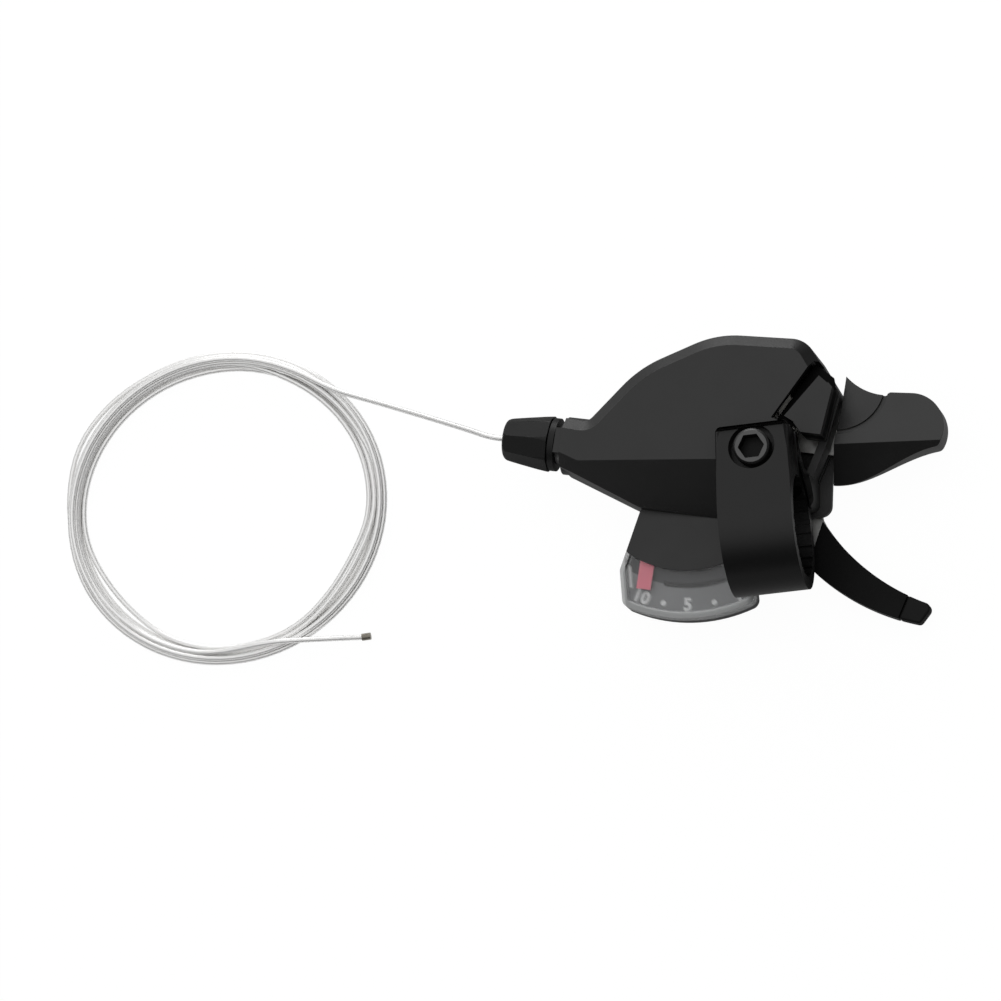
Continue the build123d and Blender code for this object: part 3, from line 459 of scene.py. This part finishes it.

# %% [markdown]
# White marks are printed on the scale under the window: three numbers and the dots between them, on an arc about
# the pointer's pivot. A white line down the left edge is a painted highlight of the window's wall, not print.
# Each number is a line of text made into a thin mesh.

# %% Printed marks
MARK_R = 30.6
NUMBER_MM = 3.8
BOLDER_MM = 0.15
DOT_R = 0.62
INK_MM = 0.03
EDGE_HIGHLIGHT_AT = (-33.5, -3.8)
EDGE_HIGHLIGHT_WIDE = 0.6
EDGE_HIGHLIGHT_LONG = 5.0
SCALE_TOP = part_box("scale_plate")[1][2]
white_print_and_highlight = moulded("white_pad_print_and_painted_highlight", "f6f6f6", "ffffff", 0.6)


def settle(piece):
    """Applies a mark's place and makes it white: print for the numbers and dots, a painted highlight for the edge
    line.
    """
    bpy.ops.object.transform_apply(location=True, rotation=True, scale=True)
    piece.data.materials.append(white_print_and_highlight)
    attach(piece, "housing")


def on_arc(piece, degrees):
    """Puts a flat mark on the arc, upright towards the pivot."""
    angle = math.radians(degrees)
    x = PIVOT[0] + MARK_R * math.sin(-angle)
    y = PIVOT[1] - MARK_R * math.cos(angle)
    piece.matrix_world = Matrix.Translation((x * MM, y * MM, SCALE_TOP)) @ Matrix.Rotation(-angle, 4, "Z")
    settle(piece)


for words, degrees in (("10", 26.2), ("5", 6.2), ("1", -15.4)):
    bpy.ops.object.select_all(action="DESELECT")
    bpy.ops.object.text_add()
    number = bpy.context.object
    number.name = "mark_" + words
    number.data.body = words
    number.data.size = NUMBER_MM * MM
    number.data.align_x = "CENTER"
    number.data.align_y = "CENTER"
    number.data.offset = BOLDER_MM * MM
    number.data.extrude = INK_MM * MM
    bpy.ops.object.convert(target="MESH")
    number = bpy.context.object
    on_arc(number, degrees)
for index, degrees in enumerate((16.5, -5.0)):
    bpy.ops.object.select_all(action="DESELECT")
    bpy.ops.mesh.primitive_circle_add(vertices=20, radius=DOT_R * MM, fill_type="NGON")
    dot = bpy.context.object
    dot.name = f"mark_dot_{index}"
    bpy.ops.object.mode_set(mode="EDIT")
    bpy.ops.mesh.extrude_region_move(TRANSFORM_OT_translate={"value": (0, 0, INK_MM * MM)})
    bpy.ops.mesh.select_all(action="SELECT")
    bpy.ops.mesh.normals_make_consistent(inside=False)
    bpy.ops.object.mode_set(mode="OBJECT")
    on_arc(dot, degrees)
# A thin white strip by the left edge: a painted highlight of the window's wall, not print.
bpy.ops.object.select_all(action="DESELECT")
bpy.ops.mesh.primitive_cube_add(size=1, location=(EDGE_HIGHLIGHT_AT[0] * MM, EDGE_HIGHLIGHT_AT[1] * MM, SCALE_TOP))
line = bpy.context.object
line.name = "painted_edge_highlight"
line.scale = (EDGE_HIGHLIGHT_WIDE * MM, EDGE_HIGHLIGHT_LONG * MM, 2 * INK_MM * MM)
settle(line)
print("marks printed at radius", MARK_R, "mm")

# %% [markdown]
# The stage is a plain white floor under the wire's coil. The camera sees it nearly white, yet it still takes the
# soft shadow that sets the part on it. Reflections see it white under the coil, which makes the wire bright, and
# dark under the shifter, as if a grey card lay there, so that the black sides stay black. The light comes from a
# bright sky straight above and from one large soft lamp at the front edge.

# %% Stage and light
CARD_EDGE = -70.0
CARD_FADE = 20.0
CARD_LEVEL = 0.25
SEEN_LEVEL = 1.03
GLOW_SHARE = 0.94
bpy.ops.object.select_all(action="DESELECT")
bpy.ops.mesh.primitive_plane_add(size=6, location=(0, 0, (FLOOR_Z - 0.1) * MM))
floor = bpy.context.object
floor.name = "floor"
paper, tree, shader, place = blank("white_paper_sweep")
shader.inputs["Base Color"].default_value = ink("f4f4f4")
shader.inputs["Roughness"].default_value = 0.9
ray = add(tree, "ShaderNodeLightPath")
seen = ray.outputs["Is Camera Ray"]
for kind in ("Is Glossy Ray", "Is Transmission Ray"):
    seen = add(tree, "ShaderNodeMath", {0: seen, 1: ray.outputs[kind]}, operation="MAXIMUM").outputs[0]
share = add(tree, "ShaderNodeMath", {0: seen}, {1: GLOW_SHARE}, operation="MULTIPLY")
across = add(tree, "ShaderNodeSeparateXYZ", {"Vector": place})
card = {"From Min": CARD_EDGE * MM, "From Max": (CARD_EDGE - CARD_FADE) * MM, "To Min": CARD_LEVEL, "To Max": 1.0}
mirrored = add(tree, "ShaderNodeMapRange", {"Value": across.outputs["X"]}, card)
told = {"Value": ray.outputs["Is Glossy Ray"], "To Max": mirrored.outputs["Result"]}
level = add(tree, "ShaderNodeMapRange", told, {"To Min": SEEN_LEVEL})
glow = add(tree, "ShaderNodeEmission", {"Strength": level.outputs["Result"]}, {"Color": (1, 1, 1, 1)})
mixed = add(tree, "ShaderNodeMixShader", {0: share.outputs[0], 1: shader.outputs[0], 2: glow.outputs[0]})
tree.links.new(mixed.outputs[0], tree.nodes["Material Output"].inputs["Surface"])
floor.data.materials.append(paper)


def soft_lamp(name, place, aim_at, size, power):
    """A square area lamp that faces a point."""
    bpy.ops.object.light_add(type="AREA", location=place)
    lamp = bpy.context.object
    lamp.name = name
    lamp.data.size = size
    lamp.data.energy = power
    way = Vector(aim_at) - Vector(place)
    lamp.rotation_euler = way.to_track_quat("-Z", "Y").to_euler()


soft_lamp("front_softbox", (-0.1, 0.95, 0.12), (-0.02, 0.02, 0), 0.5, 4)
world = bpy.data.worlds.new("studio")
scene.world = world
world.use_nodes = True
tree = world.node_tree
sky = tree.nodes["Background"]
place = add(tree, "ShaderNodeTexCoord").outputs["Generated"]
height = add(tree, "ShaderNodeVectorMath", {0: place}, {1: (-0.1, 0.2, 0.97)}, operation="DOT_PRODUCT")
dome = {"From Min": 0.4, "From Max": 1.0, "To Min": 0.10, "To Max": 1.1}
level = add(tree, "ShaderNodeMapRange", {"Value": height.outputs["Value"]}, dome, interpolation_type="SMOOTHSTEP")
ray = add(tree, "ShaderNodeLightPath")
told = {"Factor": ray.outputs["Is Camera Ray"], "A": level.outputs["Result"]}
strength = add(tree, "ShaderNodeMix", told, {"B": 1.0})
tree.links.new(strength.outputs["Result"], sky.inputs["Strength"])
sky.inputs["Color"].default_value = (1, 1, 1, 1)

# %% [markdown]
# Last, the scene is brought up to date.

# %% Update the scene
bpy.context.view_layer.update()
